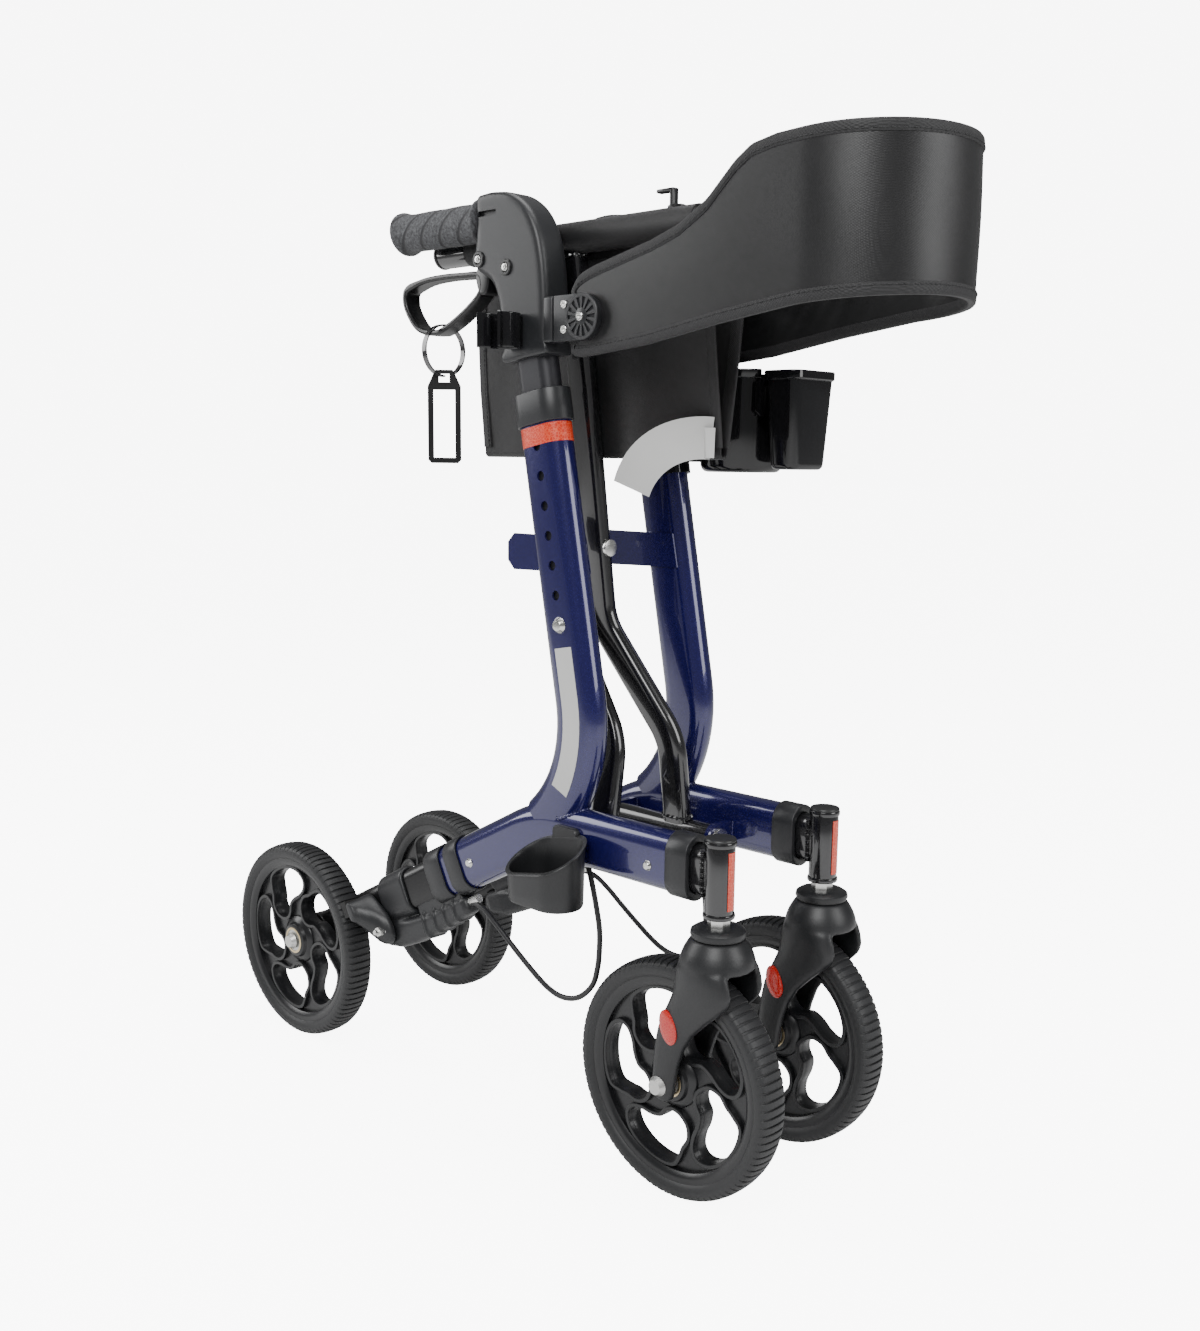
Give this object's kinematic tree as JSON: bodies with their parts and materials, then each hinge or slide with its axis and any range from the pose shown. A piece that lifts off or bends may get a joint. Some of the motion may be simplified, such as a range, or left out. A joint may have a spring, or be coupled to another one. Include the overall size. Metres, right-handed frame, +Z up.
{
  "type": "rollator",
  "caption": "Folding rolling walker standing folded, with cross braces, swivel front wheels, loop brakes, hanging fabric seat, back strap, cup holder and cane holder.",
  "frame": {"origin": "on the ground, in the mirror plane between the two side frames, 220 mm in front of the rear axle line", "axes": "+Z up; -Y towards the front casters; +X to the user's left side when standing behind and facing the front, the cup holder's side"},
  "size_m": [0.28, 0.784, 0.8288],
  "materials": {
    "frame_paint": "gloss metallic navy blue with a clear coat",
    "black_paint": "gloss black",
    "grey_plastic": "satin dark grey moulding",
    "black_plastic": "satin black moulding",
    "gloss_plastic": "gloss black moulding",
    "wheel_plastic": "satin dark grey moulding",
    "zinc": "zinc plated",
    "grip_rubber": "mottled, lightly textured",
    "black_rubber": "matt",
    "tyre": "solid soft tyre",
    "cloth": "woven black nylon",
    "strap_fabric": "smooth black padded fabric"
  },
  "bodies": {
    "right_frame": {"right_side_frame": "frame_paint", "right_front_leg": "black_paint", "right_rear_leg": "black_paint", "right_collars": "grey_plastic", "right_frame_bolts": "zinc", "right_brake_housing": "grey_plastic", "right_brake_cable": "black_rubber", "right_rear_axle": "zinc", "cane_cup": "grey_plastic"},
    "left_frame": {"left_side_frame": "frame_paint", "left_front_leg": "black_paint", "left_rear_leg": "black_paint", "left_collars": "grey_plastic", "left_frame_bolts": "zinc", "left_brake_housing": "grey_plastic", "left_brake_cable": "black_rubber", "left_rear_axle": "zinc", "cup_holder": "gloss_plastic"},
    "right_handle": {"right_handle_tube": "black_paint", "right_handle_housing": "grey_plastic", "right_handle_screws": "zinc", "right_grip": "grip_rubber", "right_strap_bracket": "grey_plastic", "cane_clip": "black_plastic"},
    "right_lever": {"right_brake_lever": "black_plastic"},
    "right_brake": {"right_brake_arm": "grey_plastic", "right_brake_shoe": "black_rubber"},
    "right_fork": {"right_caster_fork": "grey_plastic", "right_caster_stem": "zinc", "right_front_axle": "zinc"},
    "right_front_wheel": {"right_front_tyre": "tyre", "right_front_rim": "wheel_plastic"},
    "right_rear_wheel": {"right_rear_tyre": "tyre", "right_rear_rim": "wheel_plastic"},
    "right_strap": {"right_back_strap": "strap_fabric", "right_strap_plate": "grey_plastic"},
    "left_handle": {"left_handle_tube": "black_paint", "left_handle_housing": "grey_plastic", "left_handle_screws": "zinc", "left_grip": "grip_rubber", "left_strap_bracket": "grey_plastic"},
    "left_lever": {"left_brake_lever": "black_plastic"},
    "left_brake": {"left_brake_arm": "grey_plastic", "left_brake_shoe": "black_rubber"},
    "left_fork": {"left_caster_fork": "grey_plastic", "left_caster_stem": "zinc", "left_front_axle": "zinc"},
    "left_front_wheel": {"left_front_tyre": "tyre", "left_front_rim": "wheel_plastic"},
    "left_rear_wheel": {"left_rear_tyre": "tyre", "left_rear_rim": "wheel_plastic"},
    "left_strap": {"left_back_strap": "strap_fabric", "left_strap_plate": "grey_plastic"},
    "brace_a": {"brace_a": "black_paint", "right_rail_caps": "black_plastic"},
    "brace_b": {"brace_b": "black_paint", "left_rail_caps": "black_plastic", "brace_cross_bolt": "zinc", "seat_cloth": "cloth"},
    "key_tag": {"key_ring_tag": "black_plastic"}
  },
  "joints": [
    {"name": "fold", "type": "hinge", "parent": "right_frame", "child": "brace_b", "pos_m": [-0.034, -0.168, 0.275], "axis": [0, 1, 0], "range_deg": [0, 49.76]},
    {"name": "brace_scissor", "type": "hinge", "parent": "brace_b", "child": "brace_a", "pos_m": [0, -0.0966, 0.525], "axis": [0, 1, 0], "range_deg": [-99.51, 0], "deforming": ["seat_cloth"]},
    {"name": "left_frame_pivot", "type": "hinge", "parent": "brace_a", "child": "left_frame", "pos_m": [0.034, -0.168, 0.275], "axis": [0, 1, 0], "range_deg": [0, 49.76]},
    {"name": "right_handle_height", "type": "slide", "parent": "right_frame", "child": "right_handle", "axis": [0, 0.1874, 0.9823], "range_m": [0, 0.15]},
    {"name": "right_lever", "type": "hinge", "parent": "right_handle", "child": "right_lever", "pos_m": [-0.07, -0.052, 0.7669], "axis": [1, 0, 0], "range_deg": [0, 14], "stiffness_Nm_per_rad": 2.5, "springref_deg": -5.73},
    {"name": "right_brake", "type": "hinge", "parent": "right_frame", "child": "right_brake", "pos_m": [-0.09, 0.0933, 0.1349], "axis": [-1, 0, 0], "range_deg": [0, 3]},
    {"name": "right_swivel", "type": "hinge", "parent": "right_frame", "child": "right_fork", "pos_m": [-0.07, -0.3175, 0.27], "axis": [0, 0, 1], "range_deg": [-50, 50]},
    {"name": "right_front_wheel_spin", "type": "hinge", "parent": "right_fork", "child": "right_front_wheel", "pos_m": [-0.07, -0.2795, 0.1015], "axis": [1, 0, 0], "continuous": true},
    {"name": "right_rear_wheel_spin", "type": "hinge", "parent": "right_frame", "child": "right_rear_wheel", "pos_m": [-0.097, 0.22, 0.1015], "axis": [1, 0, 0], "continuous": true},
    {"name": "left_handle_height", "type": "slide", "parent": "left_frame", "child": "left_handle", "axis": [0, 0.1874, 0.9823], "range_m": [0, 0.15]},
    {"name": "left_lever", "type": "hinge", "parent": "left_handle", "child": "left_lever", "pos_m": [0.07, -0.052, 0.7669], "axis": [1, 0, 0], "range_deg": [0, 14], "stiffness_Nm_per_rad": 2.5, "springref_deg": -5.73},
    {"name": "left_brake", "type": "hinge", "parent": "left_frame", "child": "left_brake", "pos_m": [0.09, 0.0933, 0.1349], "axis": [-1, 0, 0], "range_deg": [0, 3]},
    {"name": "left_swivel", "type": "hinge", "parent": "left_frame", "child": "left_fork", "pos_m": [0.07, -0.3175, 0.27], "axis": [0, 0, 1], "range_deg": [-50, 50]},
    {"name": "left_front_wheel_spin", "type": "hinge", "parent": "left_fork", "child": "left_front_wheel", "pos_m": [0.07, -0.2795, 0.1015], "axis": [1, 0, 0], "continuous": true},
    {"name": "left_rear_wheel_spin", "type": "hinge", "parent": "left_frame", "child": "left_rear_wheel", "pos_m": [0.097, 0.22, 0.1015], "axis": [1, 0, 0], "continuous": true},
    {"name": "right_strap_pin", "type": "hinge", "parent": "right_handle", "child": "right_strap", "pos_m": [-0.084, -0.146, 0.713], "axis": [0, 0, 1], "range_deg": [0, 38.97], "deforming": ["right_back_strap"]},
    {"name": "strap_middle", "type": "hinge", "parent": "right_strap", "child": "left_strap", "pos_m": [0, -0.46, 0.76], "axis": [0, 0, 1], "range_deg": [-77.94, 0], "deforming": ["left_back_strap"]},
    {"name": "key_tag_swing", "type": "hinge", "parent": "right_lever", "child": "key_tag", "pos_m": [-0.07, 0.014, 0.6957], "axis": [0, 1, 0], "range_deg": [-20, 20]}
  ],
  "couplings": [
    {"joint": "brace_scissor", "follows": "fold", "ratio": -2},
    {"joint": "left_frame_pivot", "follows": "fold", "ratio": 1},
    {"joint": "left_handle_height", "follows": "right_handle_height", "ratio": 1},
    {"joint": "right_brake", "follows": "right_lever", "ratio": 0.21429},
    {"joint": "left_brake", "follows": "left_lever", "ratio": 0.21429},
    {"joint": "right_strap_pin", "follows": "fold", "ratio": 0.7832},
    {"joint": "strap_middle", "follows": "fold", "ratio": -1.5664}
  ]
}
